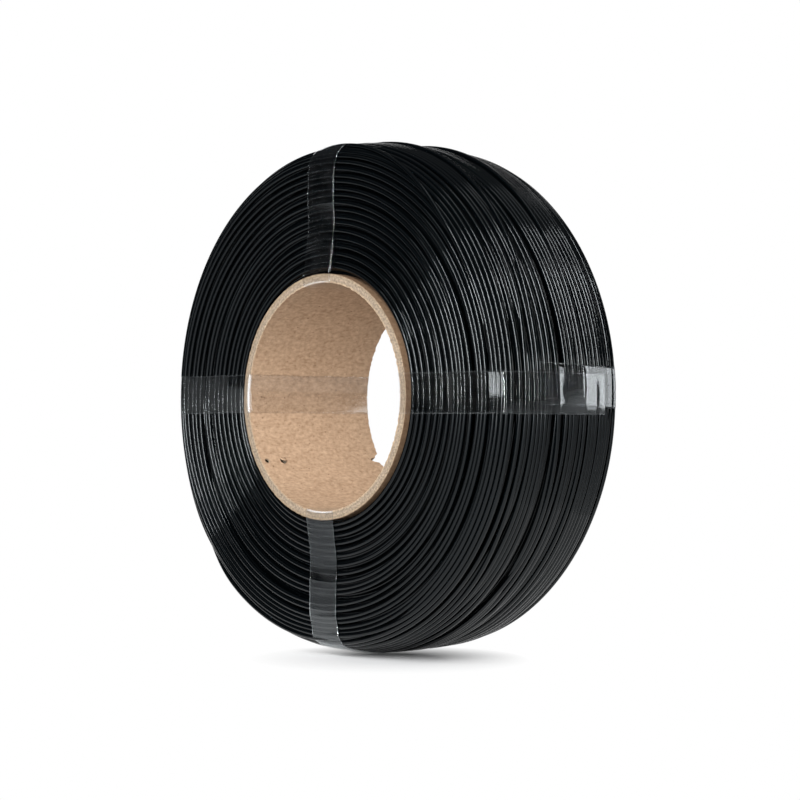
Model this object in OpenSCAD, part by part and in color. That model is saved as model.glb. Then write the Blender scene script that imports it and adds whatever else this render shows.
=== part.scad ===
// Refill coil of printer filament on a cardboard core, held by four tape strips.
// Millimetres. The axis lies along Y, the origin is at the middle of the bore,
// and the coil stands on its rim with +Z up.

/* [Core tube] */
// Inside diameter of the cardboard core
bore_d = 86; // [70:1:120]
// Thickness of the core's wall
core_wall = 3.3; // [1.5:0.1:6]
// Length of the core from rim to rim
core_len = 62; // [50:1:80]
// How far each rim stands out past the winding
core_proud = 1.8; // [0.5:0.1:4]
// Direction of the line of punched holes, round from +X towards +Z
hole_turn = 214.7; // [200:0.1:250]
// Distance of the filament's anchor hole from the near rim
anchor_in = 3; // [2.5:0.1:8]
// Diameter of the second punched hole
spare_d = 3; // [1.5:0.1:6]
// Distance of the second punched hole from the near rim
spare_in = 11; // [9:0.5:24]
// Depth of the torn notch in the far rim
notch_depth = 5; // [1:0.5:12]
// Width of the torn notch at the far rim
notch_w = 6; // [2:0.5:12]

/* [Filament] */
// Diameter of the filament
filament_d = 1.75; // [1.5:0.05:2.85]
// Room all round the filament in its anchor hole
anchor_clear = 0.15; // [0.1:0.05:0.6]
// How far the filament's start lies back from the bore's wall
start_back = 0.6; // [0.2:0.1:1.4]

/* [Winding] */
// Diameter of the coil over its tape
coil_d = 195; // [170:1:240]
// Width of the level band in the middle of the crown
crown_flat = 4; // [1:0.5:8]
// Radius across the near half of the crown
crown_near_r = 100; // [80:1:400]
// Radius across the far half of the crown
crown_far_r = 300; // [80:1:400]
// Radius of the near shoulder
shoulder_near_r = 7; // [5:0.5:10]
// Radius of the far shoulder
shoulder_far_r = 5; // [4.5:0.5:10]
// Least air between neighbouring turns of the outer layer
turn_air = 0.5; // [0.45:0.05:1.2]
// Room between the outer layer and the turns below it
layer_seat = 0.05; // [0.02:0.01:0.2]
// Spacing of the turns that show on both flanks
flank_pitch = 2.85; // [2.2:0.05:6]
// Depth of the grooves between those turns
flank_groove = 1.2; // [0.4:0.1:1.6]

/* [Tape] */
// Width of each tape strip
tape_w = 15; // [8:0.5:20]
// Thickness of the tape
tape_t = 0.1; // [0.05:0.01:0.25]
// Room between the tape and the filament
tape_slack = 0.03; // [0.02:0.01:0.2]
// Height over which a strip slants from the winding's flank out to the rim
tape_slant = 5; // [2:0.5:10]
// How far from the middle the overlapping end of the right strip starts
lap_start = 14; // [4:0.5:18]
// How far the overlapping end lies to one side of its strip
lap_shift = 3.6; // [0:0.1:5]
// How far the overlapping end reaches down the far flank
lap_reach = 18; // [8:1:22]

/* [Hidden] */
$fn = 96;
eps = 1;

bore_r = bore_d / 2;
core_r = bore_r + core_wall;
half_len = core_len / 2;
half_w = half_len - core_proud;
wind_r = coil_d / 2 - tape_t - tape_slack;
flat_u = crown_flat / 2;
anchor_y = -half_len + anchor_in;
spare_y = -half_len + spare_in;
layer_t = filament_d + layer_seat;

// The winding's outline across its width is a level band, then on each side
// a crown arc and a shoulder arc that meet tangent. All of it moves out by g.
function shoulder_v(c, s) =
    wind_r - c + sqrt(pow(c - s, 2) - pow(half_w - s - flat_u, 2));
function meet_a(c, s) = asin((half_w - s - flat_u) / (c - s));
function crown_pt(c, g, a) =
    [flat_u + (c + g) * sin(a), wind_r - c + (c + g) * cos(a)];
function shoulder_pt(c, s, g, a) =
    [half_w - s + (s + g) * sin(a), shoulder_v(c, s) + (s + g) * cos(a)];
function half_line(c, s, g) = let (m = meet_a(c, s)) concat(
    [for (i = [0 : 5]) crown_pt(c, g, m * i / 5)],
    [for (i = [1 : 10]) shoulder_pt(c, s, g, m + (90 - m) * i / 10)]);
function flip(pts) = [for (i = [len(pts) - 1 : -1 : 0]) [-pts[i][0], pts[i][1]]];
function backward(pts) = [for (i = [len(pts) - 1 : -1 : 0]) pts[i]];
function outline(g) = concat(
    flip(half_line(crown_near_r, shoulder_near_r, g)),
    half_line(crown_far_r, shoulder_far_r, g));

// A band of thickness t laid along the left side of an open line of points
function unit(v) = v / norm(v);
function turned(v) = [-v[1], v[0]];
function side_of(pts, i) = turned(unit(pts[i + 1] - pts[i]));
function laid_on(pts, t) = [for (i = [0 : len(pts) - 1])
    let (a = side_of(pts, max(i - 1, 0)), b = side_of(pts, min(i, len(pts) - 2)),
         m = unit(a + b))
    pts[i] + m * t / (m * a)];
function band(pts, t) = concat(pts, backward(laid_on(pts, t)));

// Centre line of the outer layer across the winding, by length along it
mid_g = -filament_d / 2;
near_m = meet_a(crown_near_r, shoulder_near_r);
far_m = meet_a(crown_far_r, shoulder_far_r);
arc_k = PI / 180;
len_1 = (shoulder_near_r + mid_g) * (90 - near_m) * arc_k;
len_2 = len_1 + (crown_near_r + mid_g) * near_m * arc_k;
len_3 = len_2 + crown_flat;
len_4 = len_3 + (crown_far_r + mid_g) * far_m * arc_k;
len_5 = len_4 + (shoulder_far_r + mid_g) * (90 - far_m) * arc_k;
function near_side(p, a) = [-p[0], p[1], -a];
function far_side(p, a) = [p[0], p[1], a];
function across(s) =
    s < len_1 ? let (a = 90 - s / (shoulder_near_r + mid_g) / arc_k)
        near_side(shoulder_pt(crown_near_r, shoulder_near_r, mid_g, a), a) :
    s < len_2 ? let (a = (len_2 - s) / (crown_near_r + mid_g) / arc_k)
        near_side(crown_pt(crown_near_r, mid_g, a), a) :
    s < len_3 ? [s - len_2 - flat_u, wind_r + mid_g, 0] :
    s < len_4 ? let (a = (s - len_3) / (crown_far_r + mid_g) / arc_k)
        far_side(crown_pt(crown_far_r, mid_g, a), a) :
    let (a = far_m + (s - len_4) / (shoulder_far_r + mid_g) / arc_k)
        far_side(shoulder_pt(crown_far_r, shoulder_far_r, mid_g, a), a);

// The outer layer is one six-sided tube in straight runs, 24 to a turn, level
// under each tape strip. It starts under the left strip and ends under the right.
sides = 6;
runs = 24;
run_a = 360 / runs;
tube_r = filament_d / 2 / cos(180 / sides);
loops = min(24, floor(len_5 / (2 * tube_r + turn_air)));
first_a = 180;
last_a = 360 * loops;
stations = concat([first_a],
    [for (a = [first_a + run_a / 2 : run_a : last_a - run_a / 4]) a], [last_a]);
function corner_k(a) =
    let (q = (a + run_a / 2) / run_a) cos((q - floor(q)) * run_a - run_a / 2);
function ring(a) =
    let (p = across(len_5 * (a - first_a) / (last_a - first_a)),
         t = [cos(p[2]), -sin(p[2])], n = [sin(p[2]), cos(p[2])], k = corner_k(a))
    [for (j = [0 : sides - 1])
        let (w = j * 360 / sides,
             q = [p[0], p[1]] + tube_r * (t * cos(w) + n * sin(w)))
        [q[1] * cos(a) / k, q[0], q[1] * sin(a) / k]];
rings = [for (a = stations) ring(a)];
tube_points = [for (r = rings) each r];
tube_last = (len(stations) - 1) * sides;
tube_faces = concat(
    [for (j = [1 : sides - 2]) [0, j + 1, j]],
    [for (i = [0 : len(stations) - 2], j = [0 : sides - 1], h = [0, 1])
        let (a = i * sides + j, b = i * sides + (j + 1) % sides)
        h == 0 ? [a, b, b + sides] : [a, b + sides, a + sides]],
    [for (j = [1 : sides - 2]) [tube_last, tube_last + j, tube_last + j + 1]]);

// Least distance between corners and edges of turns that lie side by side
function to_edge(p, a, b) =
    let (d = b - a, f = max(0, min(1, ((p - a) * d) / (d * d)))) norm(p - a - d * f);
function ring_gap(q, r, s) = min([for (p = q, j = [0 : sides - 1])
    min(to_edge(p, r[j], r[(j + 1) % sides]), to_edge(p, r[j], s[j]))]);
least_gap = min([for (i = [1 : len(rings) - runs - 3])
    min(ring_gap(rings[i], rings[i + runs], rings[i + runs + 1]),
        ring_gap(rings[i], rings[i + runs - 1], rings[i + runs]))]);
echo(str("Least gap between turns of the outer layer: ", least_gap, " mm, ",
         loops - 0.5, " turns"));

// Rebate in the pack where the outer layer lies flush with the flanks. Below it
// the flank has a plain ring for each turn that shows there.
function step_v(c, s) = shoulder_v(c, s) - tube_r - turn_air;
function flank_rings(v) =
    let (n = floor((v - core_r) / flank_pitch), pitch = (v - core_r) / n)
    [for (i = [0 : n - 1], f = [[flank_groove, -0.3], [0, -0.14], [0, 0.14],
                                [flank_groove, 0.3]])
        [half_w - f[0], v - (i + 0.5 + f[1]) * pitch]];
function pack_half(c, s) = concat(half_line(c, s, -layer_t),
    [[half_w - layer_t, step_v(c, s)], [half_w - flank_groove, step_v(c, s)]],
    flank_rings(step_v(c, s)), [[half_w - flank_groove, core_r]]);
pack_outline = concat(
    flip(pack_half(crown_near_r, shoulder_near_r)),
    pack_half(crown_far_r, shoulder_far_r));

// Line that a tape strip follows, from inside the near rim over the crown
tape_foot = sqrt(pow(bore_r - tape_t, 2) - pow(tape_w / 2 + lap_shift, 2)) - eps;
tape_line = concat(
    [[-half_len, tape_foot], [-half_len, core_r],
     [-half_w - tape_slack, core_r + tape_slant]],
    outline(tape_slack),
    [[half_w + tape_slack, core_r + tape_slant], [half_len, core_r],
     [half_len, tape_foot]]);
lap_g = tape_slack + tape_t;
lap_a = asin((lap_start - flat_u) / (crown_near_r + lap_g));
lap_line = concat(
    flip([for (i = [0 : 4]) crown_pt(crown_near_r, lap_g, lap_a * i / 4)]),
    half_line(crown_far_r, shoulder_far_r, lap_g),
    [[half_w + lap_g, shoulder_v(crown_far_r, shoulder_far_r) - lap_reach]]);

// Turns a shape's own Z out along the radius at angle a, from +X towards +Z
module out_at(a) { rotate([0, 90 - a, 0]) children(); }

// A cylinder along the coil's axis
module along_axis(r, h) { rotate([90, 0, 0]) cylinder(r = r, h = h, center = true); }

// Extrudes an outline of width against height by w, centred
module sheet(pts, w) {
    rotate([90, 0, 90]) linear_extrude(height = w, center = true) polygon(pts);
}

// A punched hole through the core's wall
module wall_hole(y, d) {
    out_at(hole_turn) translate([0, y, bore_r - eps])
        cylinder(d = d, h = core_wall + 2 * eps);
}

// A strip of tape once round the winding's section, through the bore
module strip(a) {
    out_at(a) {
        difference() {
            sheet(band(tape_line, tape_t), tape_w);
            along_axis(bore_r - tape_t, core_len + 4 * eps);
        }
        intersection() {
            difference() {
                along_axis(bore_r, core_len + 2 * tape_t);
                along_axis(bore_r - tape_t, core_len + 4 * eps);
            }
            translate([-tape_w / 2, -core_len, 0]) cube([tape_w, 2 * core_len, bore_r]);
        }
    }
}

// The end of a strip that laps over its own start, a little to one side
module lap(a) {
    out_at(a) translate([-lap_shift, 0, 0]) sheet(band(lap_line, tape_t), tape_w);
}

module core_tube() {
    color("tan") difference() {
        along_axis(core_r, core_len);
        along_axis(bore_r, core_len + 2 * eps);
        wall_hole(anchor_y, filament_d + 2 * anchor_clear);
        wall_hole(spare_y, spare_d);
        out_at(hole_turn) translate([0, half_len, bore_r - eps])
            linear_extrude(height = core_wall + 2 * eps)
            polygon([[-notch_w / 2, eps], [-notch_w / 2, 0], [-notch_w / 6, -notch_depth],
                     [notch_w / 6, -0.8 * notch_depth], [notch_w / 2, 0],
                     [notch_w / 2, eps]]);
    }
}

module filament_pack() {
    color([0.03, 0.03, 0.035]) rotate([-90, 0, 0]) rotate_extrude()
        polygon([for (p = pack_outline) [p[1], p[0]]]);
}

module filament_outer_layer() {
    color([0.06, 0.06, 0.07]) polyhedron(points = tube_points, faces = tube_faces);
}

module filament_start() {
    color([0.06, 0.06, 0.07]) intersection() {
        out_at(hole_turn) translate([0, anchor_y, bore_r + start_back])
            cylinder(d = filament_d, h = core_wall);
        along_axis(core_r, core_len);
    }
}

module tape_top() { color([0.85, 0.87, 0.9, 0.5]) strip(90); }

module tape_bottom() { color([0.85, 0.87, 0.9, 0.5]) strip(270); }

module tape_left() { color([0.85, 0.87, 0.9, 0.5]) strip(180); }

module tape_right() {
    color([0.85, 0.87, 0.9, 0.5]) {
        strip(0);
        lap(0);
    }
}

core_tube();
filament_pack();
filament_outer_layer();
filament_start();
tape_top();
tape_bottom();
tape_left();
tape_right();
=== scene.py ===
import math

import bmesh
import bpy
import numpy as np
from mathutils import Matrix, Vector


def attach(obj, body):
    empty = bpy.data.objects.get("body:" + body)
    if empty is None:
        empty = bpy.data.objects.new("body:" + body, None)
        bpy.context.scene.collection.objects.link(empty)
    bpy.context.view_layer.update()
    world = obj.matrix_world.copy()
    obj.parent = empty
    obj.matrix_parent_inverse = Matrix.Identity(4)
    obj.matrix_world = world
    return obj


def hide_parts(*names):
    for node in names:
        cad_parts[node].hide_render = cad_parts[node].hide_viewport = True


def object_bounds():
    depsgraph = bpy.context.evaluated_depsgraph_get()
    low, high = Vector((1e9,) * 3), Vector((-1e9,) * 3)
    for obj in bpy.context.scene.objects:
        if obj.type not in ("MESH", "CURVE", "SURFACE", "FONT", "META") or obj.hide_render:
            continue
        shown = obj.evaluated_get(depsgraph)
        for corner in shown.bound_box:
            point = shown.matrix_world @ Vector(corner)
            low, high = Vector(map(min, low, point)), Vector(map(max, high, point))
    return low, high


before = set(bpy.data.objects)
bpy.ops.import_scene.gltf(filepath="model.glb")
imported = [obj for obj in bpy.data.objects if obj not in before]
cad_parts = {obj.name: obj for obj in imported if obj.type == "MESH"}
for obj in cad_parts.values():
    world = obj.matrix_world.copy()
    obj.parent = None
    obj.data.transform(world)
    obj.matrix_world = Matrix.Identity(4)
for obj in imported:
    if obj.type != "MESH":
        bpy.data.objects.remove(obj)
cad_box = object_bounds()
MM = 0.001

# ---------------------------------------------------------------- Camera and studio
# A long lens close to the height of the coil's axis, square softboxes at both sides,
# one above, and a white floor that keeps the coil's shadow.
scene = bpy.context.scene
scene.view_settings.view_transform = "Standard"

camera_data = bpy.data.cameras.new("camera")
camera_data.sensor_width = 36.0
camera_data.lens = 103.6
camera_data.shift_x = 0.0224
camera_data.shift_y = -0.0028
camera_data.clip_start = 0.01
camera = bpy.data.objects.new("camera", camera_data)
scene.collection.objects.link(camera)
scene.camera = camera
to_right = Vector((0.67480, 0.73799, 0.00359)).normalized()
to_back = to_right.cross(Vector((0.00629, -0.01062, 0.99992))).normalized()
to_top = to_back.cross(to_right)
camera.matrix_world = Matrix((
    (to_right.x, to_top.x, to_back.x, 0.65367),
    (to_right.y, to_top.y, to_back.y, -0.59785),
    (to_right.z, to_top.z, to_back.z, -0.01046),
    (0, 0, 0, 1)))


def softbox(name, azimuth, elevation, distance, size, power):
    """A rectangular lamp that faces the coil. Angles in degrees, lengths in metres and
    power in watts, and the azimuth and elevation are where the coil sees it."""
    data = bpy.data.lights.new(name, "AREA")
    data.shape = "RECTANGLE"
    data.size, data.size_y = size
    data.energy = power
    lamp = bpy.data.objects.new(name, data)
    scene.collection.objects.link(lamp)
    a, e = math.radians(azimuth), math.radians(elevation)
    away = Vector((math.cos(e) * math.cos(a), math.cos(e) * math.sin(a), math.sin(e)))
    lamp.location = away * distance
    lamp.rotation_euler = away.to_track_quat("Z", "Y").to_euler()


# The tall key in four lengths gives each strand its thin highlight, and the cards and
# panels at the sides give the film its reflections.
softbox("tall_key", -60, 18, 1.2, (0.13, 0.83), 22.8)
softbox("key_foot", -60, -7.5, 1.2, (0.13, 0.28), 2.6)
softbox("key_top", -60, 46, 1.2, (0.13, 0.40), 5.0)
softbox("key_tip", -60, 70, 1.2, (0.13, 0.60), 0.8)
softbox("left_fill", -95, 8, 1.3, (0.35, 0.33), 1.4)
softbox("left_card", -149, -2.5, 1.3, (0.51, 0.19), 0.072)
softbox("right_panel", 58, 4, 1.3, (0.62, 0.34), 1.95)
softbox("right_rim", 62, 24, 1.3, (0.06, 0.8), 1.4)
softbox("right_card", 40, 2, 1.3, (0.14, 0.24), 0.009)
softbox("overhead", -60, 80, 1.2, (2.0, 1.6), 1.3)

world = bpy.data.worlds.new("studio")
scene.world = world
world.use_nodes = True
background = world.node_tree.nodes["Background"]
background.inputs["Color"].default_value = (0.93, 0.96, 1.0, 1)
background.inputs["Strength"].default_value = 0.02

# ---------------------------------------------------------------- White sweep
# A narrow roll of white paper under and behind the coil. Close to the coil it is lit
# and takes the shadow; further out it is plain white, as an overlit sweep is. It is
# clear from its back, so that it hides nothing there. A pale floor runs on around it.
FLOOR_Z = cad_box[0][2]
SWEEP_HALF = 0.165      # half the paper's width beside the coil
SWEEP_TAPER = 0.19      # how much of that it gains for each metre further back
SWEEP_FRONT = 0.36      # how far it runs towards the camera
SWEEP_BACK = 0.5        # how far behind the coil it turns up
SWEEP_BEND = 0.15       # radius of that turn
SWEEP_TOP = 0.42        # how high it ends
SHADE_AT = (0.022, -0.016)      # middle of the shaded part of the paper
SHADE_NEAR = 0.018      # the coil's shadow is kept in full up to here
SHADE_FAR = 0.052       # and beyond this the paper is plain white
profile = [(d, 0.0) for d in (-SWEEP_FRONT, -0.3, 0.0, 0.25, SWEEP_BACK - SWEEP_BEND)]
profile += [(SWEEP_BACK - SWEEP_BEND + SWEEP_BEND * math.sin(a),
             SWEEP_BEND - SWEEP_BEND * math.cos(a))
            for a in np.linspace(0, math.pi / 2, 13)[1:]]
profile.append((SWEEP_BACK, SWEEP_TOP))
away = Vector((-to_back.x, -to_back.y, 0)).normalized()
aside = Vector((away.y, -away.x, 0))
bm = bmesh.new()
pairs = [[bm.verts.new(away * d + aside * w * (SWEEP_HALF + SWEEP_TAPER * d)
                       + Vector((0, 0, FLOOR_Z + h))) for w in (-1, 1)]
         for d, h in profile]
for (a, b), (c, d) in zip(pairs, pairs[1:]):
    bm.faces.new((a, b, d, c))
mesh = bpy.data.meshes.new("paper_sweep")
bm.to_mesh(mesh)
bm.free()
mesh.shade_smooth()
sweep = bpy.data.objects.new("paper_sweep", mesh)
scene.collection.objects.link(sweep)


def node(tree, kind, **values):
    """Adds a node and sets its plain inputs by name."""
    n = tree.nodes.new(kind)
    for key, value in values.items():
        n.inputs[key.replace("_", " ")].default_value = value
    return n


def maths(tree, operation, first, second=None):
    """Adds a Math node on these sockets or plain values and gives its output."""
    n = tree.nodes.new("ShaderNodeMath")
    n.operation = operation
    for socket, value in zip(n.inputs, (first, second)):
        if isinstance(value, bpy.types.NodeSocket):
            tree.links.new(value, socket)
        elif value is not None:
            socket.default_value = value
    return n.outputs[0]


def mix_shader(tree, share, first, second):
    """Adds a Mix Shader node and gives its output."""
    n = tree.nodes.new("ShaderNodeMixShader")
    for socket, source in zip(n.inputs, (share, first, second)):
        tree.links.new(source, socket)
    return n.outputs[0]


def principled(name):
    """A new material with one Principled shader, its node tree and that shader."""
    mat = bpy.data.materials.new(name)
    mat.use_nodes = True
    tree = mat.node_tree
    return mat, tree, tree.nodes["Principled BSDF"]


paper = bpy.data.materials.new("paper_white")
paper.use_nodes = True
nt = paper.node_tree
nt.nodes.clear()
out = nt.nodes.new("ShaderNodeOutputMaterial")
lit = node(nt, "ShaderNodeBsdfDiffuse", Color=(0.80, 0.805, 0.81, 1))
white = node(nt, "ShaderNodeEmission", Strength=1.0)
coord = nt.nodes.new("ShaderNodeTexCoord")
level = node(nt, "ShaderNodeMapping", Location=(-SHADE_AT[0], -SHADE_AT[1], 0),
             Scale=(1, 1, 0))
nt.links.new(coord.outputs["Object"], level.inputs["Vector"])
reach = nt.nodes.new("ShaderNodeVectorMath")
reach.operation = "LENGTH"
nt.links.new(level.outputs[0], reach.inputs[0])
fade = node(nt, "ShaderNodeMapRange", From_Min=SHADE_NEAR, From_Max=SHADE_FAR)
nt.links.new(reach.outputs["Value"], fade.inputs["Value"])
seen = mix_shader(nt, fade.outputs["Result"], lit.outputs[0], white.outputs[0])
path = nt.nodes.new("ShaderNodeLightPath")
direct = maths(nt, "MAXIMUM", path.outputs["Is Camera Ray"], path.outputs["Is Glossy Ray"])
direct = maths(nt, "MAXIMUM", direct, path.outputs["Is Transmission Ray"])
shown = mix_shader(nt, direct, lit.outputs[0], seen)
from_back = nt.nodes.new("ShaderNodeBsdfTransparent")
geom = nt.nodes.new("ShaderNodeNewGeometry")
one_sided = mix_shader(nt, geom.outputs["Backfacing"], shown, from_back.outputs[0])
nt.links.new(one_sided, out.inputs["Surface"])
sweep.data.materials.append(paper)

bm = bmesh.new()
bmesh.ops.create_circle(bm, cap_ends=True, segments=96, radius=5.0)
bmesh.ops.translate(bm, vec=(0, 0, FLOOR_Z - 1 * MM), verts=bm.verts)
mesh = bpy.data.meshes.new("studio_floor")
bm.to_mesh(mesh)
bm.free()
studio_floor = bpy.data.objects.new("studio_floor", mesh)
scene.collection.objects.link(studio_floor)
floor_paint, nt, shader = principled("floor_pale")
shader.inputs["Base Color"].default_value = (0.50, 0.51, 0.52, 1)
shader.inputs["Roughness"].default_value = 0.9
shader.inputs["Specular IOR Level"].default_value = 0.1
studio_floor.data.materials.append(floor_paint)

# ---------------------------------------------------------------- Winding
# One strand of 1.75 mm black plastic, machine wound on the core. Its outermost turns
# climb the near flank, cross the crown and go down the far flank as one tube, and a
# second layer shows between them. The turns were laid slack, so they wander and part.
STRAND_R = 0.875
FOOT_R = 46.3          # outside of the core
HALF_W = 29.2          # half the width over the flanks
WIND_R = 97.37         # over the crown
FLAT = 2.0             # half the level stretch in the middle of the crown
CROWN_R = (100.0, 300.0)        # curve of the crown towards the near and far flank
SHOULDER_R = (7.0, 5.0)         # and of the shoulders there
STATIONS = 216         # points of the strand to each turn
START = math.pi        # the first turn starts at the left
STRAY_LIFT = 1.5       # how far a stray turn rises over the turns it crosses


def section_half(side):
    """Points and outward normals from the crown's middle to one flank's foot."""
    crown, shoulder = CROWN_R[side], SHOULDER_R[side]
    across = HALF_W - shoulder - FLAT
    drop = WIND_R - crown + math.sqrt((crown - shoulder) ** 2 - across ** 2)
    meet = math.asin(across / (crown - shoulder))
    rows = [(u, WIND_R, 0.0, 1.0) for u in np.arange(0, FLAT, 0.1)]
    for a in np.linspace(0, meet, int(crown * meet / 0.1)):
        rows.append((FLAT + crown * math.sin(a), WIND_R - crown + crown * math.cos(a),
                     math.sin(a), math.cos(a)))
    for a in np.linspace(meet, math.pi / 2, 80)[1:]:
        rows.append((HALF_W - shoulder + shoulder * math.sin(a),
                     drop + shoulder * math.cos(a), math.sin(a), math.cos(a)))
    rows += [(HALF_W, v, 1.0, 0.0) for v in np.arange(drop - 0.1, FOOT_R, -0.1)]
    return np.array(rows)


near_half = section_half(0)[::-1] * np.array([-1, 1, -1, 1])
SECTION = np.vstack([near_half, section_half(1)[1:]])
steps = np.linalg.norm(np.diff(SECTION[:, :2], axis=0), axis=1)
SECTION_S = np.concatenate([[0.0], np.cumsum(steps)])
SECTION_LEN = SECTION_S[-1]
turning = np.abs(np.diff(np.arctan2(SECTION[:, 2], SECTION[:, 3])))
SECTION_BEND = np.concatenate([turning / np.maximum(steps, 1e-6), [0.0]])


def on_section(s, h):
    """Axial place and radius at length s along the section and height h above it."""
    y, r, ny, nr = (np.interp(s, SECTION_S, SECTION[:, i]) for i in range(4))
    return y + ny * h, r + nr * h


def at_y(y):
    """Length along the section at axial place y on the crown."""
    return float(np.interp(y, SECTION[:, 0], SECTION_S))


def smooth_along(field, degrees):
    """Blurs turns end to end along the strand by a Gaussian this many degrees wide."""
    flat = field.reshape(-1)
    sigma = degrees / 360 * STATIONS
    n = len(flat)
    f = np.fft.rfftfreq(n)
    return np.fft.irfft(np.fft.rfft(flat) * np.exp(-2 * (math.pi * sigma * f) ** 2), n) \
        .reshape(field.shape)


def smooth_turns(field, sigma):
    """Blurs across neighbouring turns."""
    reach = np.arange(-int(3 * sigma) - 1, int(3 * sigma) + 2)
    weights = np.exp(-0.5 * (reach / sigma) ** 2)
    padded = np.pad(field, ((len(reach) // 2,) * 2, (0, 0)), mode="edge")
    return sum(w * padded[i:i + len(field)] for i, w in enumerate(weights)) \
        / weights.sum()


def drift(rng, shape, turns, degrees, size):
    """A smooth random field with standard deviation size."""
    field = rng.standard_normal(shape)
    if turns:
        field = smooth_turns(field, turns)
    field = smooth_along(field, degrees)
    return field * (size / field.std())


def ramp(p, start, width):
    """Rises smoothly from 0 to 1 over this width of a turn."""
    q = np.clip((p - start) / width, 0, 1)
    return q * q * (3 - 2 * q)


def foot_rise(s):
    """How far the turns next to the core stand out from the flanks."""
    return 1.5 * np.exp(-(np.minimum(s, SECTION_LEN - s) / 3.2) ** 2)


def lay_turns(rng, places, lifts, depth, deeper):
    """Lengths along the section and heights, one row per turn, before they settle. A
    turn in lifts strays from this start over this width of its way. The layer lies this
    depth below the outer one, and deeper by the last value on the crown."""
    places = np.array(places)
    n = len(places) - 1
    p = np.arange(STATIONS) / STATIONS
    s = np.zeros((n, STATIONS))
    lift = np.zeros((n, STATIONS))
    for t in range(n):
        # On the crown a turn steps over in part of its way, and on a flank all the way.
        crown = at_y(-28) < places[t] < at_y(28)
        start = rng.uniform(0.0, 0.5) if crown else 0.0
        width = rng.uniform(0.2, 0.4) if crown else 1.0
        if t in lifts:
            start, width = lifts[t]
            lift[t] = STRAY_LIFT \
                * np.sin(math.pi * np.clip((p - start) / width, 0, 1)) ** 0.5
        s[t] = places[t] + (places[t + 1] - places[t]) * (
            ramp(p, start, width) if crown or t in lifts else p)
    # They wander most on the crown and least at the feet, and some sink below the rest.
    shape = s.shape
    y, _ = on_section(s, 0.0)
    crown = np.clip((28.5 - np.abs(y)) / 4, 0, 1)
    foot = np.clip(np.minimum(s, SECTION_LEN - s) / 14, 0.08, 1)
    s += (drift(rng, shape, 2.6, 45, 1.0) * (0.55 + 0.6 * crown)
          + drift(rng, shape, 0, 30, 0.36)) * foot
    sink = np.maximum(drift(rng, shape, 1.2, 55, 0.6) + drift(rng, shape, 0, 35, 0.35), 0) \
        + 0.5 * np.maximum(drift(rng, shape, 3.0, 65, 1.0), 0) * crown
    rise = foot_rise(s)
    height = rise - STRAND_R - depth * (1 - 0.4 * rise) - deeper * crown - sink * foot \
        + lift
    return s, height, lift


def settle(s, h, top, press, outer):
    """Pushes turns that overlap apart, keeping each strand smooth, near its own place
    and below its top, less what presses on it there. The first rows, this many, are the
    outer layer's turns, end to end, and the others the second layer's."""
    rounds, push_share, pull_back = 36, 0.45, 0.02
    s0, h0 = s.copy(), h.copy()
    for i in range(rounds):
        bend = np.interp(s, SECTION_S, SECTION_BEND)
        ds = (s[:, None] - s[None]) * (1 + 0.5 * (bend[:, None] * h[:, None]
                                                  + bend[None] * h[None]))
        dh = h[:, None] - h[None]
        gap = np.sqrt(ds * ds + dh * dh) + 1e-6
        push = np.clip(2 * STRAND_R - gap, 0, None)
        push[np.arange(len(s)), np.arange(len(s))] = 0
        s = s + push_share * (push * ds / gap).sum(1) + pull_back * (s0 - s)
        h = h + push_share * (push * dh / gap).sum(1) + pull_back * (h0 - h)
        h = np.minimum(h, top - press(s))
        s = np.clip(s, STRAND_R + 0.03, SECTION_LEN - STRAND_R - 0.03)
        if i % 4 == 3:
            for rows in (slice(0, outer), slice(outer, None)):
                s[rows] = s0[rows] + smooth_along(s[rows] - s0[rows], 4.5)
                h[rows] = smooth_along(h[rows], 4.5)
    return s, h


rng = np.random.default_rng(11)
FLANK_STEPS = [2.0, 2.4, 2.8, 3.1, 3.4]
TOUCH = 1.86            # step between turns that lie side by side
# Turns that lie side by side on the crown, the step over the groove after them, and
# how far the next turn strays across its neighbours before it comes back.
CROWN_RUNS = [(1, 2.3, 8.5), (5, 3.6, 0), (4, 2.9, 7.0), (3, 3.8, 0), (3, 2.4, 0),
              (4, 3.4, 6.0), (4, 2.2, 0), (3, 2.2, 0)]
places = [1.1]
lifts = {}
while places[-1] < at_y(-29.1) - 2.2:
    places.append(places[-1] + rng.choice(FLANK_STEPS))
flank_turns = len(places) - 1
for count, groove, stray in CROWN_RUNS:
    places += [places[-1] + TOUCH * (i + 1) for i in range(count - 1)]
    if stray:
        lifts[len(places) - 1] = (rng.uniform(0.53, 0.57), rng.uniform(0.18, 0.24))
        lifts[len(places)] = (0.02, 0.24)
        places += [places[-1] + stray, places[-1] + groove]
    else:
        places.append(places[-1] + groove)
crown_count = len(places) - 1 - flank_turns
while places[-1] < SECTION_LEN - 3.0:
    places.append(places[-1] + rng.choice(FLANK_STEPS))
outer_s, outer_h, outer_lift = lay_turns(rng, places, lifts, 0.0, 0.0)
outer_n = len(outer_s)
crown_turns = (flank_turns, flank_turns + crown_count)
# The tape strips pull the turns in a little at both shoulders, and the right strip
# stands flat across a chord of the near shoulder, with every turn there below it.
CHORD = (at_y(-29.19) - 1.7, at_y(-27.75))
chord_s = np.linspace(*CHORD, 40)
chord_y, chord_r = on_section(chord_s, 0.0)
span_y, span_r = chord_y[-1] - chord_y[0], chord_r[-1] - chord_r[0]
chord_dip = 0.12 + np.abs((chord_y - chord_y[0]) * span_r
                          - (chord_r - chord_r[0]) * span_y) / math.hypot(span_y, span_r)
turn_angle = np.arange(STATIONS) * 360 / STATIONS
near_strip = np.exp(-(((turn_angle + 45) % 90 - 45) / 8) ** 2)
near_chord = np.exp(-((turn_angle - 180) / 10) ** 4)


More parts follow.
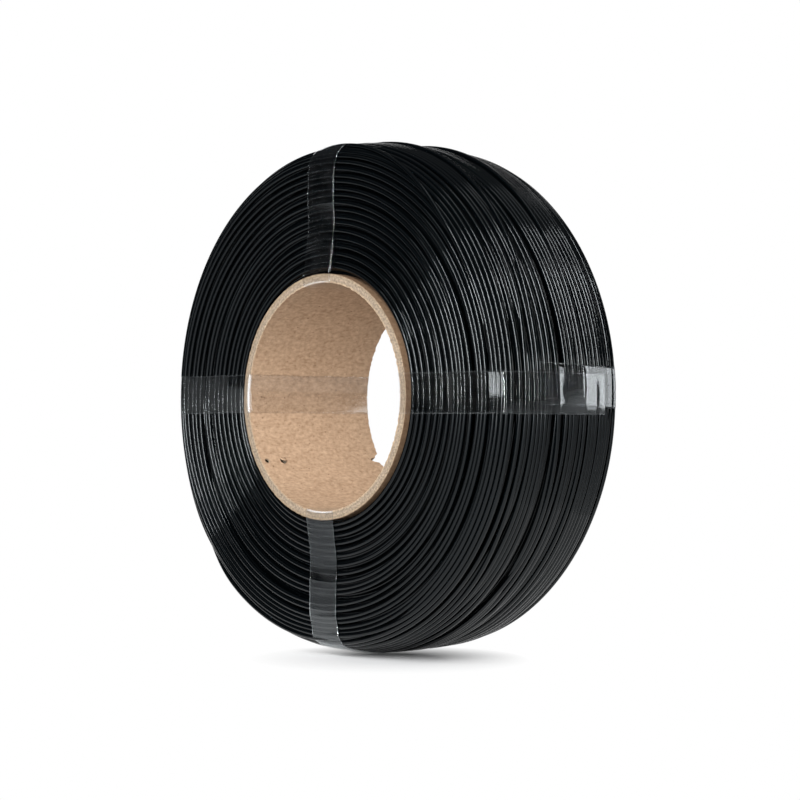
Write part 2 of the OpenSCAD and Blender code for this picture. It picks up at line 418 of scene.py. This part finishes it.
def press(s):
    """How far the strips press the turns in, at each turn's place and angle, less how
    far the turns stand out next to the core."""
    shoulders = sum(np.exp(-((s - at_y(y)) / 2.6) ** 2) for y in (-28.2, 28.6))
    dip = np.interp(s, chord_s, chord_dip, left=0.0, right=0.0)
    return np.maximum(0.4 * near_strip * shoulders, dip * near_chord) - foot_rise(s)


places = [1.0]
while places[-1] < SECTION_LEN - 2.9:
    places.append(places[-1] + rng.choice([1.78, 1.9, 2.1]))
inner_s, inner_h, inner_lift = lay_turns(rng, places, {}, 1.8, 0.6)
# Only stray turns rise out of the section, and the second layer stays further down.
turn_s, turn_h = settle(
    np.vstack([outer_s, inner_s]), np.vstack([outer_h, inner_h]),
    np.vstack([-STRAND_R + outer_lift * 0.7, -STRAND_R - 0.9 + inner_lift]),
    press, outer_n)


def strand(name, first, last, sides, every):
    """One unbroken tube along these turns, made as a curve and kept as a mesh."""
    run = slice(first * STATIONS, last * STATIONS + 1, every)
    s, h = turn_s.reshape(-1)[run], turn_h.reshape(-1)[run]
    y, r = on_section(s, h)
    a = START + 2 * math.pi * np.arange(len(s)) * every / STATIONS
    points = np.stack([r * np.cos(a), y, r * np.sin(a)], 1) * MM
    curve = bpy.data.curves.new(name, "CURVE")
    curve.dimensions = "3D"
    curve.bevel_depth = STRAND_R * MM
    curve.bevel_resolution = sides // 2 - 2
    curve.use_fill_caps = True
    spline = curve.splines.new("POLY")
    spline.points.add(len(points) - 1)
    spline.points.foreach_set(
        "co", np.hstack([points, np.ones((len(points), 1))]).reshape(-1))
    holder = bpy.data.objects.new(name + "_path", curve)
    scene.collection.objects.link(holder)
    bpy.context.view_layer.update()
    mesh = bpy.data.meshes.new_from_object(
        holder.evaluated_get(bpy.context.evaluated_depsgraph_get()))
    bpy.data.objects.remove(holder)
    mesh.shade_smooth()
    mesh.name = name
    piece = bpy.data.objects.new(name, mesh)
    scene.collection.objects.link(piece)
    return piece


filament, nt, shader = principled("filament_black")
shader.inputs["Base Color"].default_value = (0.0008, 0.0013, 0.0017, 1)
shader.inputs["Specular IOR Level"].default_value = 0.33
shader.inputs["Specular Tint"].default_value = (0.91, 0.97, 1.0, 1)
coord = nt.nodes.new("ShaderNodeTexCoord")
draw = node(nt, "ShaderNodeTexNoise", Scale=45.0, Detail=2.0)
gloss = node(nt, "ShaderNodeMapRange", To_Min=0.06, To_Max=0.12)
nt.links.new(coord.outputs["Object"], draw.inputs["Vector"])
nt.links.new(draw.outputs["Fac"], gloss.inputs["Value"])
nt.links.new(gloss.outputs["Result"], shader.inputs["Roughness"])

runs = (("winding_near_flank", 0, crown_turns[0], 12, 1, "filament_outer_layer"),
        ("winding_crown", *crown_turns, 12, 1, "filament_outer_layer"),
        ("winding_far_flank", crown_turns[1], outer_n, 12, 1, "filament_outer_layer"),
        ("winding_second_layer", outer_n, len(turn_s), 8, 2, "filament_pack"))
for name, first, last, sides, every, solid in runs:
    piece = strand(name, first, last, sides, every)
    piece.data.materials.clear()
    piece.data.materials.append(filament)
    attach(piece, "root")
    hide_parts(solid)

# The turns below these are never seen apart, so they are one ring.
BODY_DEPTH = 4.3        # from the section in to the ring
s = np.linspace(0, SECTION_LEN, 90)
y, r = on_section(s, np.full(len(s), -BODY_DEPTH))
bm = bmesh.new()
loop = [bm.verts.new((FOOT_R * MM, -(HALF_W - BODY_DEPTH) * MM, 0))]
loop += [bm.verts.new((ri * MM, yi * MM, 0)) for yi, ri in zip(y, r) if ri > FOOT_R]
loop += [bm.verts.new((FOOT_R * MM, (HALF_W - BODY_DEPTH) * MM, 0))]
rim = [bm.edges.new((loop[i], loop[(i + 1) % len(loop)])) for i in range(len(loop))]
bmesh.ops.spin(bm, geom=loop + rim, cent=(0, 0, 0), axis=(0, 1, 0), dvec=(0, 0, 0),
               angle=2 * math.pi, steps=160, use_merge=True)
bmesh.ops.remove_doubles(bm, verts=bm.verts, dist=1e-6)
bmesh.ops.recalc_face_normals(bm, faces=bm.faces)
mesh = bpy.data.meshes.new("winding_body")
bm.to_mesh(mesh)
bm.free()
mesh.shade_smooth()
winding_body = bpy.data.objects.new("winding_body", mesh)
scene.collection.objects.link(winding_body)
winding_body.data.materials.append(filament)
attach(winding_body, "root")
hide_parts("filament_pack")

# The strand's first millimetres, in their hole in the core, keep their own mesh.
start_node = bpy.data.objects.get("filament_start")
for slot in start_node.material_slots:
    slot.material = filament

# ---------------------------------------------------------------- Core tube
# A spiral-wound tube of kraft board, sawn to length, so its rims are rough and show the
# layers of the wall. Two holes are punched through it, and the far rim is torn.
BORE_R = 43.0
CORE_R = 46.3
CORE_HALF = 31.0
HOLE_TURN = math.radians(214.7)     # angle of the line of holes
ANCHOR_Y = -CORE_HALF + 3.0         # the hole that the strand starts in
SPARE_Y = -CORE_HALF + 11.0


def core_wall():
    """The plain tube with its sawn rims, before the holes are cut."""
    wall, length, around = 10, 40, 360
    corners = [(CORE_R, -CORE_HALF), (CORE_R, CORE_HALF), (BORE_R, CORE_HALF),
               (BORE_R, -CORE_HALF)]
    line = []
    for (r, y), (next_r, next_y), n in zip(corners, corners[1:] + corners[:1],
                                           (length, wall) * 2):
        line += [(r + (next_r - r) * i / n, y + (next_y - y) * i / n) for i in range(n)]
    bm = bmesh.new()
    verts = [bm.verts.new((r * MM, y * MM, 0)) for r, y in line]
    edges = [bm.edges.new((verts[i], verts[(i + 1) % len(verts)]))
             for i in range(len(verts))]
    bmesh.ops.spin(bm, geom=verts + edges, cent=(0, 0, 0), axis=(0, 1, 0),
                   dvec=(0, 0, 0), angle=2 * math.pi, steps=around, use_merge=True)
    bmesh.ops.remove_doubles(bm, verts=bm.verts, dist=1e-7)
    bmesh.ops.recalc_face_normals(bm, faces=bm.faces)
    return bm


def wave(rng, count, low, high):
    """A periodic ripple: a function of the angle, between -1 and 1 or so."""
    n = rng.integers(low, high, count)
    ph = rng.uniform(0, 2 * math.pi, count)
    return lambda a: sum(math.sin(k * a + q) for k, q in zip(n, ph)) / math.sqrt(count)


rng = np.random.default_rng(5)
bm = core_wall()
saw = [(wave(rng, 5, 2, 9), wave(rng, 9, 30, 110)) for _ in range(2)]
fray = [wave(rng, 12, 40, 150) for _ in range(4)]
for v in bm.verts:
    r = math.hypot(v.co.x, v.co.z) / MM
    a = math.atan2(v.co.z, v.co.x)
    side = 0 if v.co.y < 0 else 1
    if abs(v.co.y) > (CORE_HALF - 0.01) * MM:
        broad, fine = saw[side]
        deep = (r - BORE_R) / (CORE_R - BORE_R)
        down = 0.10 * (1 + broad(a)) / 2 + 0.07 * abs(fine(a + 3 * deep)) \
            + 0.10 * max(0, fray[side](a + deep))
        v.co.y -= math.copysign(min(down, 0.35) * MM, v.co.y)
        if deep < 0.01 or deep > 0.99:
            ragged = 0.13 * fray[2 + side](a)
            k = (r + ragged * (1 if deep < 0.5 else 0.4)) / r
            v.co.x *= k
            v.co.z *= k
mesh = bpy.data.meshes.new("core_tube_board")
bm.to_mesh(mesh)
bm.free()
core = bpy.data.objects.new("core_board", mesh)
scene.collection.objects.link(core)


def cutter(name, rows, y):
    """A prism through the wall on the line of holes, from an outline (across, along)."""
    bm = bmesh.new()
    ring = [bm.verts.new((across * MM, along * MM, (BORE_R - 2) * MM))
            for across, along in rows]
    face = bm.faces.new(ring)
    top = bmesh.ops.extrude_face_region(bm, geom=[face])["geom"]
    bmesh.ops.translate(bm, vec=(0, 0, 7 * MM),
                        verts=[g for g in top if isinstance(g, bmesh.types.BMVert)])
    bmesh.ops.recalc_face_normals(bm, faces=bm.faces)
    bmesh.ops.translate(bm, vec=(0, y * MM, 0), verts=bm.verts)
    bmesh.ops.rotate(bm, cent=(0, 0, 0), verts=bm.verts,
                     matrix=Matrix.Rotation(math.pi / 2 - HOLE_TURN, 3, "Y"))
    mesh = bpy.data.meshes.new(name)
    bm.to_mesh(mesh)
    bm.free()
    tool = bpy.data.objects.new(name, mesh)
    scene.collection.objects.link(tool)
    return tool


def round_hole(rng, radius, ragged, n=20):
    """A hole's outline with its edge this ragged, as a share of its radius."""
    return [(radius * (1 + ragged * rng.uniform(-1, 1)) * math.cos(2 * math.pi * i / n),
             radius * (1 + ragged * rng.uniform(-1, 1)) * math.sin(2 * math.pi * i / n))
            for i in range(n)]


tools = [
    cutter("anchor_hole", round_hole(rng, 1.05, 0.06), ANCHOR_Y),
    cutter("spare_hole", round_hole(rng, 1.5, 0.14), SPARE_Y),
    cutter("torn_notch", [(-3.0, 1.0), (-2.9, -0.3), (-1.5, -1.0), (-1.0, -3.3),
                          (-0.1, -5.1), (0.8, -3.9), (0.9, -2.2), (1.9, -1.7),
                          (2.6, -0.4), (3.3, 1.0)][::-1], CORE_HALF),
]
for tool in tools:
    cut = core.modifiers.new(tool.name, "BOOLEAN")
    cut.operation = "DIFFERENCE"
    cut.solver = "EXACT"
    cut.object = tool
bpy.context.view_layer.update()
mesh = bpy.data.meshes.new_from_object(
    core.evaluated_get(bpy.context.evaluated_depsgraph_get()))
core.modifiers.clear()
core.data = mesh
mesh.name = "core_board"
for tool in tools:
    bpy.data.objects.remove(tool)
mesh.shade_smooth()
mesh.set_sharp_from_angle(angle=math.radians(35))

# A tongue of the board's inner ply, pushed up where the spare hole was punched, from
# its root in the wall to its tip.
rng = np.random.default_rng(9)
bm = bmesh.new()
rows = []
for q in (i / 6 for i in range(7)):
    half = 1.25 * math.sqrt(max(1 - q ** 2.4, 0.03)) * (1 + 0.08 * rng.uniform(-1, 1))
    rows.append([bm.verts.new((
        (1.35 - 2.1 * q) * MM, half * c * MM,
        (BORE_R - 0.06 - 1.15 * q ** 1.4 + 0.12 * rng.uniform(-1, 1) * q) * MM))
        for c in (-1, -0.5, 0, 0.5, 1)])
for a, b in zip(rows, rows[1:]):
    for i in range(4):
        bm.faces.new((a[i], a[i + 1], b[i + 1], b[i]))
bmesh.ops.translate(bm, vec=(0, SPARE_Y * MM, 0), verts=bm.verts)
bmesh.ops.rotate(bm, cent=(0, 0, 0), verts=bm.verts,
                 matrix=Matrix.Rotation(math.pi / 2 - HOLE_TURN, 3, "Y"))
bmesh.ops.recalc_face_normals(bm, faces=bm.faces)
mesh = bpy.data.meshes.new("core_torn_ply")
bm.to_mesh(mesh)
bm.free()
mesh.shade_smooth()
torn_ply = bpy.data.objects.new("core_torn_ply", mesh)
scene.collection.objects.link(torn_ply)
ply = torn_ply.modifiers.new("thickness", "SOLIDIFY")
ply.thickness = 0.3 * MM
ply.offset = 0


def mix_colour(tree, fac, a, b, blend="MIX"):
    """Adds a colour Mix node on these sockets or plain values and gives its output."""
    m = tree.nodes.new("ShaderNodeMix")
    m.data_type = "RGBA"
    m.blend_type = blend
    for socket, value in ((m.inputs[0], fac), (m.inputs[6], a), (m.inputs[7], b)):
        if isinstance(value, bpy.types.NodeSocket):
            tree.links.new(value, socket)
        else:
            socket.default_value = value
    return m.outputs[2]


def colour_ramp(tree, stops):
    """Adds a Color Ramp node with these stops, each a place and a colour."""
    n = tree.nodes.new("ShaderNodeValToRGB")
    elements = n.color_ramp.elements
    for element, (place, colour) in zip(elements, (stops[0], stops[-1])):
        element.position = place
        element.color = (*colour, 1)
    for place, colour in stops[1:-1]:
        elements.new(place).color = (*colour, 1)
    return n


board, nt, shader = principled("kraft_board")
coord = nt.nodes.new("ShaderNodeTexCoord")
fibre = node(nt, "ShaderNodeTexNoise", Scale=900.0, Detail=4.0, Roughness=0.62)
stretch = node(nt, "ShaderNodeMapping", Scale=(1.0, 0.55, 1.0))
blotch = node(nt, "ShaderNodeTexNoise", Scale=95.0, Detail=3.0, Roughness=0.6)
fleck = node(nt, "ShaderNodeTexNoise", Scale=1500.0, Detail=1.0)
nt.links.new(coord.outputs["Object"], stretch.inputs["Vector"])
for tex in (fibre, blotch, fleck):
    nt.links.new(stretch.outputs[0], tex.inputs["Vector"])
tone = colour_ramp(nt, [(0.30, (0.305, 0.198, 0.121)), (0.70, (0.525, 0.368, 0.246))])
nt.links.new(fibre.outputs["Fac"], tone.inputs["Fac"])
patch = node(nt, "ShaderNodeMapRange", From_Min=0.3, From_Max=0.7)
nt.links.new(blotch.outputs["Fac"], patch.inputs["Value"])
skin = mix_colour(nt, patch.outputs["Result"], (0.95, 0.94, 0.93, 1), (1, 1, 1, 1))
face = mix_colour(nt, 1.0, tone.outputs["Color"], skin, "MULTIPLY")
dark = node(nt, "ShaderNodeMapRange", From_Min=0.70, From_Max=0.78)
nt.links.new(fleck.outputs["Fac"], dark.inputs["Value"])
face = mix_colour(nt, dark.outputs["Result"], face, (0.16, 0.09, 0.05, 1))

# The cut edge shows the wall's plies, by the depth in the wall.
parts = nt.nodes.new("ShaderNodeSeparateXYZ")
nt.links.new(coord.outputs["Object"], parts.inputs[0])
flat_r = nt.nodes.new("ShaderNodeCombineXYZ")
nt.links.new(parts.outputs["X"], flat_r.inputs["X"])
nt.links.new(parts.outputs["Z"], flat_r.inputs["Z"])
radius = nt.nodes.new("ShaderNodeVectorMath")
radius.operation = "LENGTH"
nt.links.new(flat_r.outputs[0], radius.inputs[0])
layer = colour_ramp(nt, [
    (0.0, (0.36, 0.265, 0.185)), (0.14, (0.33, 0.25, 0.17)), (0.26, (0.24, 0.19, 0.14)),
    (0.50, (0.29, 0.225, 0.165)), (0.74, (0.24, 0.19, 0.135)),
    (0.88, (0.29, 0.215, 0.145)), (1.0, (0.22, 0.16, 0.11))])
depth = node(nt, "ShaderNodeMapRange", From_Min=BORE_R * MM, From_Max=CORE_R * MM)
nt.links.new(radius.outputs["Value"], depth.inputs["Value"])
nt.links.new(depth.outputs["Result"], layer.inputs["Fac"])
pulp = node(nt, "ShaderNodeTexNoise", Scale=1300.0, Detail=3.0, Roughness=0.7)
nt.links.new(coord.outputs["Object"], pulp.inputs["Vector"])
speck = node(nt, "ShaderNodeMapRange", From_Min=0.35, From_Max=0.68, To_Min=0.55,
             To_Max=1.35)
nt.links.new(pulp.outputs["Fac"], speck.inputs["Value"])
grey = nt.nodes.new("ShaderNodeCombineColor")
for i in range(3):
    nt.links.new(speck.outputs["Result"], grey.inputs[i])
edge_colour = mix_colour(nt, 1.0, layer.outputs["Color"], grey.outputs["Color"],
                         "MULTIPLY")
geom = nt.nodes.new("ShaderNodeNewGeometry")
normal_parts = nt.nodes.new("ShaderNodeSeparateXYZ")
nt.links.new(geom.outputs["True Normal"], normal_parts.inputs[0])
face_on = maths(nt, "ABSOLUTE", normal_parts.outputs["Y"])
cut_mask = node(nt, "ShaderNodeMapRange", From_Min=0.35, From_Max=0.7)
nt.links.new(face_on, cut_mask.inputs["Value"])
# The outer wall is painted darker: painted shade where the turns lie close over it.
outer_shade_mask = node(nt, "ShaderNodeMapRange", From_Min=0.85, From_Max=0.97)
nt.links.new(depth.outputs["Result"], outer_shade_mask.inputs["Value"])
painted_shade_colour = mix_colour(nt, 1.0, face, (0.42, 0.38, 0.34, 1), "MULTIPLY")
face = mix_colour(nt, outer_shade_mask.outputs["Result"], face, painted_shade_colour)
colour = mix_colour(nt, cut_mask.outputs["Result"], face, edge_colour)
nt.links.new(colour, shader.inputs["Base Color"])
shader.inputs["Roughness"].default_value = 0.88
shader.inputs["Specular IOR Level"].default_value = 0.25
bump = node(nt, "ShaderNodeBump", Strength=0.5, Distance=0.00012)
nt.links.new(fibre.outputs["Fac"], bump.inputs["Height"])
nt.links.new(bump.outputs["Normal"], shader.inputs["Normal"])
for piece in (core, torn_ply):
    piece.data.materials.clear()
    piece.data.materials.append(board)
    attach(piece, "root")
    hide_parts("core_tube")

# ---------------------------------------------------------------- Tape
# Clear packing film 15 mm wide. Each strip goes once round the winding's section,
# through the bore, pulled taut over the turns, and laps over its own start.
TAPE_W = 15.0
FILM_THICK = 0.05
FILM_CLEAR = 0.04       # from the turns to the middle of the film
FILM_ROWS = 25          # lines of points across the strip
LAP_LIFT = 0.10         # how far the strip's last part stands off its start
CLING = 45.0            # radius of the film's sag between two turns it rests on
SLANT = 13.0            # length of flank it leaves bare on its way out to the rim
film_bend = np.cumsum((SECTION_BEND + 1 / CLING) * np.gradient(SECTION_S))
FILM_BOW = np.cumsum(film_bend * np.gradient(SECTION_S))


def film_height(turn, sideways, s_at):
    """Height above the section, at lengths s_at, of a film that lies taut over the
    turns, for a line at this sideways distance from the strip's own angle."""
    rows = np.arange(outer_n)
    _, r = on_section(turn_s[:outer_n].mean(1), 0.0)
    k = ((turn - np.arctan2(sideways, r) - START) / (2 * math.pi) * STATIONS) % STATIONS
    j = np.floor(k).astype(int)
    f = (k - j)[:, None]
    j2 = (j + 1) % STATIONS
    after = np.where(j2 == 0, np.minimum(rows + 1, outer_n - 1), rows)
    top = STRAND_R * np.array([-0.7, -0.35, 0, 0.35, 0.7])
    rise = np.sqrt(STRAND_R ** 2 - top ** 2)
    s = turn_s[rows, j][:, None] * (1 - f) + turn_s[after, j2][:, None] * f + top
    h = turn_h[rows, j][:, None] * (1 - f) + turn_h[after, j2][:, None] * f + rise
    inside = (s > SLANT) & (s < SECTION_LEN - SLANT)
    s = np.concatenate([[SLANT], s[inside], [SECTION_LEN - SLANT]])
    h = np.concatenate([[0.0], h[inside], [0.0]]) - np.interp(s, SECTION_S, FILM_BOW)
    # The taut film is the upper hull of the turns' tops, once its own bow is taken off.
    hull = []
    for i in np.argsort(s):
        while len(hull) > 1 and (h[hull[-1]] - h[hull[-2]]) * (s[i] - s[hull[-2]]) \
                <= (h[i] - h[hull[-2]]) * (s[hull[-1]] - s[hull[-2]]):
            hull.pop()
        hull.append(i)
    return np.interp(s_at, s[hull], h[hull]) + np.interp(s_at, SECTION_S, FILM_BOW)


# The way over the two rims and through the bore, as axial place and radius.
STRIP_STEP = 0.4
NEAR_CORNER = (-31.10, 46.35)
BORE_END = (30.9, 42.93)
FAR_RIM = (31.12, 43.4)
FAR_CORNER = (31.10, 46.35)
ROUND_RIM = [(-31.12 + 0.5 * (1 - math.cos(a)), 43.43 - 0.5 * math.sin(a))
             for a in np.linspace(0, math.pi / 2, 6)]
LIFTED_RIM = [(-31.42, 43.42), (-30.92, 42.80), (-30.2, 42.88), (-28.6, 42.93)]


def straight(corners, least):
    """Points from corner to corner, at least this many to each stretch."""
    rows = []
    for a, b in zip(corners, corners[1:]):
        n = max(least, int(math.dist(a, b) / STRIP_STEP))
        rows += [(a[0] + (b[0] - a[0]) * i / n, a[1] + (b[1] - a[1]) * i / n, -1)
                 for i in range(n)]
    return rows


def strip_line(begin, end, rim):
    """Axial place, radius and section length along a strip, from section length begin
    over the near rim, through the bore, and back to end. Off the winding the section
    length is -1."""
    rows = [(*on_section(s, 0.0), s) for s in np.arange(begin, SLANT, -STRIP_STEP)]
    rows += straight([on_section(SLANT, 0.0), NEAR_CORNER, *rim], 1)
    rows += [(y, BORE_END[1], -1) for y in np.arange(rim[-1][0], BORE_END[0], 0.6)]
    rows += straight([BORE_END, FAR_RIM, FAR_CORNER,
                      on_section(SECTION_LEN - SLANT, 0.0)], 2)
    rows += [(*on_section(s, 0.0), s)
             for s in np.arange(SECTION_LEN - SLANT, end, -STRIP_STEP)]
    return np.array(rows)


film, nt, shader = principled("tape_film")
shader.inputs["Base Color"].default_value = (0.86, 0.91, 0.94, 1)
shader.inputs["Metallic"].default_value = 1.0
shader.inputs["Roughness"].default_value = 0.06
out = nt.nodes["Material Output"]
clear = nt.nodes.new("ShaderNodeBsdfTransparent")
milk = node(nt, "ShaderNodeBsdfDiffuse", Color=(0.90, 0.92, 0.94, 1))
facing = node(nt, "ShaderNodeLayerWeight", Blend=0.5)
steep = maths(nt, "POWER", facing.outputs["Facing"], 5.0)
shine = node(nt, "ShaderNodeMapRange", To_Min=0.045, To_Max=1.0)
nt.links.new(steep, shine.inputs["Value"])
haze = node(nt, "ShaderNodeTexNoise", Scale=160.0, Detail=4.0, Roughness=0.6)
coord = nt.nodes.new("ShaderNodeTexCoord")
nt.links.new(coord.outputs["Object"], haze.inputs["Vector"])
veil = node(nt, "ShaderNodeMapRange", From_Min=0.4, From_Max=0.75, To_Min=0.0,
            To_Max=0.003)
nt.links.new(haze.outputs["Fac"], veil.inputs["Value"])
edge_at = nt.nodes.new("ShaderNodeAttribute")
edge_at.attribute_name = "edge"
edge_glow = node(nt, "ShaderNodeMapRange", From_Min=0.965, From_Max=1.0, To_Min=0.0,
                 To_Max=0.008)
nt.links.new(edge_at.outputs["Fac"], edge_glow.inputs["Value"])
fold_at = nt.nodes.new("ShaderNodeAttribute")
fold_at.attribute_name = "fold"
folded = node(nt, "ShaderNodeMapRange", From_Min=0.1, From_Max=1.0, To_Min=0.0,
              To_Max=0.45)
nt.links.new(fold_at.outputs["Fac"], folded.inputs["Value"])
cloud = maths(nt, "ADD", veil.outputs[0], edge_glow.outputs[0])
cloud = maths(nt, "ADD", cloud, folded.outputs[0])
body = mix_shader(nt, cloud, clear.outputs[0], milk.outputs[0])
glossy = mix_shader(nt, shine.outputs["Result"], body, shader.outputs[0])
nt.links.new(glossy, out.inputs["Surface"])


def tape_strip(name, turn, begin, end, shift, bubbles=(), chord=None, rim=ROUND_RIM,
               fold=(0.8, 0.7)):
    """A strip at angle turn. shift gives its sideways place by its share of the way,
    and each bubble lifts it: way along, sideways place, reach before, after and across,
    and height. A chord is a stretch that stands straight, and the film is whitened
    where it folds into the bore, for this length and this much."""
    line = strip_line(begin, end, rim)
    n_u, n_v = len(line), FILM_ROWS
    out_way, back_way = np.arange(n_u) < n_u / 2, np.arange(n_u) > n_u / 2
    side = np.interp(np.linspace(0, 1, n_u), *zip(*shift))
    across = (np.arange(n_v) / (n_v - 1) - 0.5) * TAPE_W
    y, r, s = line.T
    on = s >= 0
    lap = np.where(np.arange(n_u) > n_u * 0.6, LAP_LIFT, 0.0)
    ny = np.interp(s, SECTION_S, SECTION[:, 2])
    nr = np.interp(s, SECTION_S, SECTION[:, 3])
    ct, st = math.cos(turn), math.sin(turn)
    places = np.zeros((n_u, n_v, 3))
    for i, x in enumerate(across):
        h = np.zeros(n_u)
        for part in (on & out_way, on & back_way):
            h[part] = film_height(turn, side[part].mean() + x, s[part]) + FILM_CLEAR
        if chord:
            part = on & out_way
            low, top = (FILM_CLEAR - np.interp(c, s[part][::-1], h[part][::-1])
                        for c in chord)
            h += np.interp(s, [chord[0] - 4, chord[0], chord[1], chord[1] + 1.2],
                           [0, low, top, 0]) * part
        for at, aside_x, before, after, reach_x, high in bubbles:
            reach_s = np.where(s < at, before, after)
            h += high * np.exp(-((s - at) / reach_s) ** 2
                               - ((x - aside_x) / reach_x) ** 4) * on
        h += lap
        yy = np.where(on, y + ny * h, y)
        rr = np.where(on, r + nr * h, r)
        if chord:
            flat = np.flatnonzero((s > chord[0]) & (s < chord[1]) & out_way)
            ends = [flat[0] - 1, flat[-1] + 1]
            yy[flat] = np.interp(s[flat], s[ends][::-1], yy[ends][::-1])
            rr[flat] = np.interp(s[flat], s[ends][::-1], rr[ends][::-1])
        turned = (side + x) / np.maximum(rr, 1.0)
        px, pr = rr * np.sin(turned), rr * np.cos(turned)
        places[:, i] = np.stack([pr * ct + px * st, yy, pr * st - px * ct], 1)
    bm = bmesh.new()
    grid = [[bm.verts.new(co * MM) for co in row] for row in places]
    for u in range(n_u - 1):
        for v in range(n_v - 1):
            bm.faces.new((grid[u][v], grid[u + 1][v], grid[u + 1][v + 1], grid[u][v + 1]))
    mesh = bpy.data.meshes.new(name)
    bm.to_mesh(mesh)
    bm.free()
    edge = mesh.attributes.new("edge", "FLOAT", "POINT")
    edge.data.foreach_set("value", np.tile(np.abs(across) / (TAPE_W / 2), n_u))
    length, much = fold
    in_bore = ~on & (r < 43.45)
    white = np.where(in_bore, np.clip(1 - (y + 31.3) / (length + 0.5), 0, 1), 0)
    white = much * white[:, None] * (1 - 0.5 * (np.abs(across) / (TAPE_W / 2)) ** 4)
    creased = mesh.attributes.new("fold", "FLOAT", "POINT")
    creased.data.foreach_set("value", white.reshape(-1))
    mesh.shade_smooth()
    piece = bpy.data.objects.new(name + "_film", mesh)
    scene.collection.objects.link(piece)
    piece.data.materials.append(film)
    body = piece.modifiers.new("thickness", "SOLIDIFY")
    body.thickness = FILM_THICK * MM
    body.offset = 0
    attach(piece, "root")
    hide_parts(name)
    return piece


back_lap = SECTION_LEN - 22.0
tape_strip("tape_top", math.pi / 2, back_lap, back_lap - 8,
           [(0, 1.5), (0.25, 0.8), (0.45, -3.3), (0.6, -3.3), (0.9, -2), (1, 1)],
           fold=(9.0, 0.4))
tape_strip("tape_bottom", -math.pi / 2, back_lap, back_lap - 8,
           [(0, -4), (0.25, -5), (0.45, 1.0), (0.6, 1.0), (0.9, -1), (1, -4)])
tape_strip("tape_left", math.pi, back_lap, back_lap - 8,
           [(0, 1.6), (0.25, 1.6), (0.45, 1.2), (0.6, 1.6), (1, 1.4)], rim=LIFTED_RIM)
tape_strip("tape_right", 0.0, at_y(20), at_y(-14),
           [(0, -1.0), (0.35, -1.1), (0.6, -1.0), (0.8, -3.0), (1, -4.6)],
           [(at_y(7.5), -1.5, 6.8, 1.5, 6.2, 0.9), (at_y(17.0), 2.0, 1.2, 1.8, 6.0, 0.16),
            (at_y(-8), 4.0, 2.2, 2.2, 2.5, 0.10), (at_y(-4), -5.0, 2.0, 2.0, 2.6, 0.10)],
           chord=CHORD)
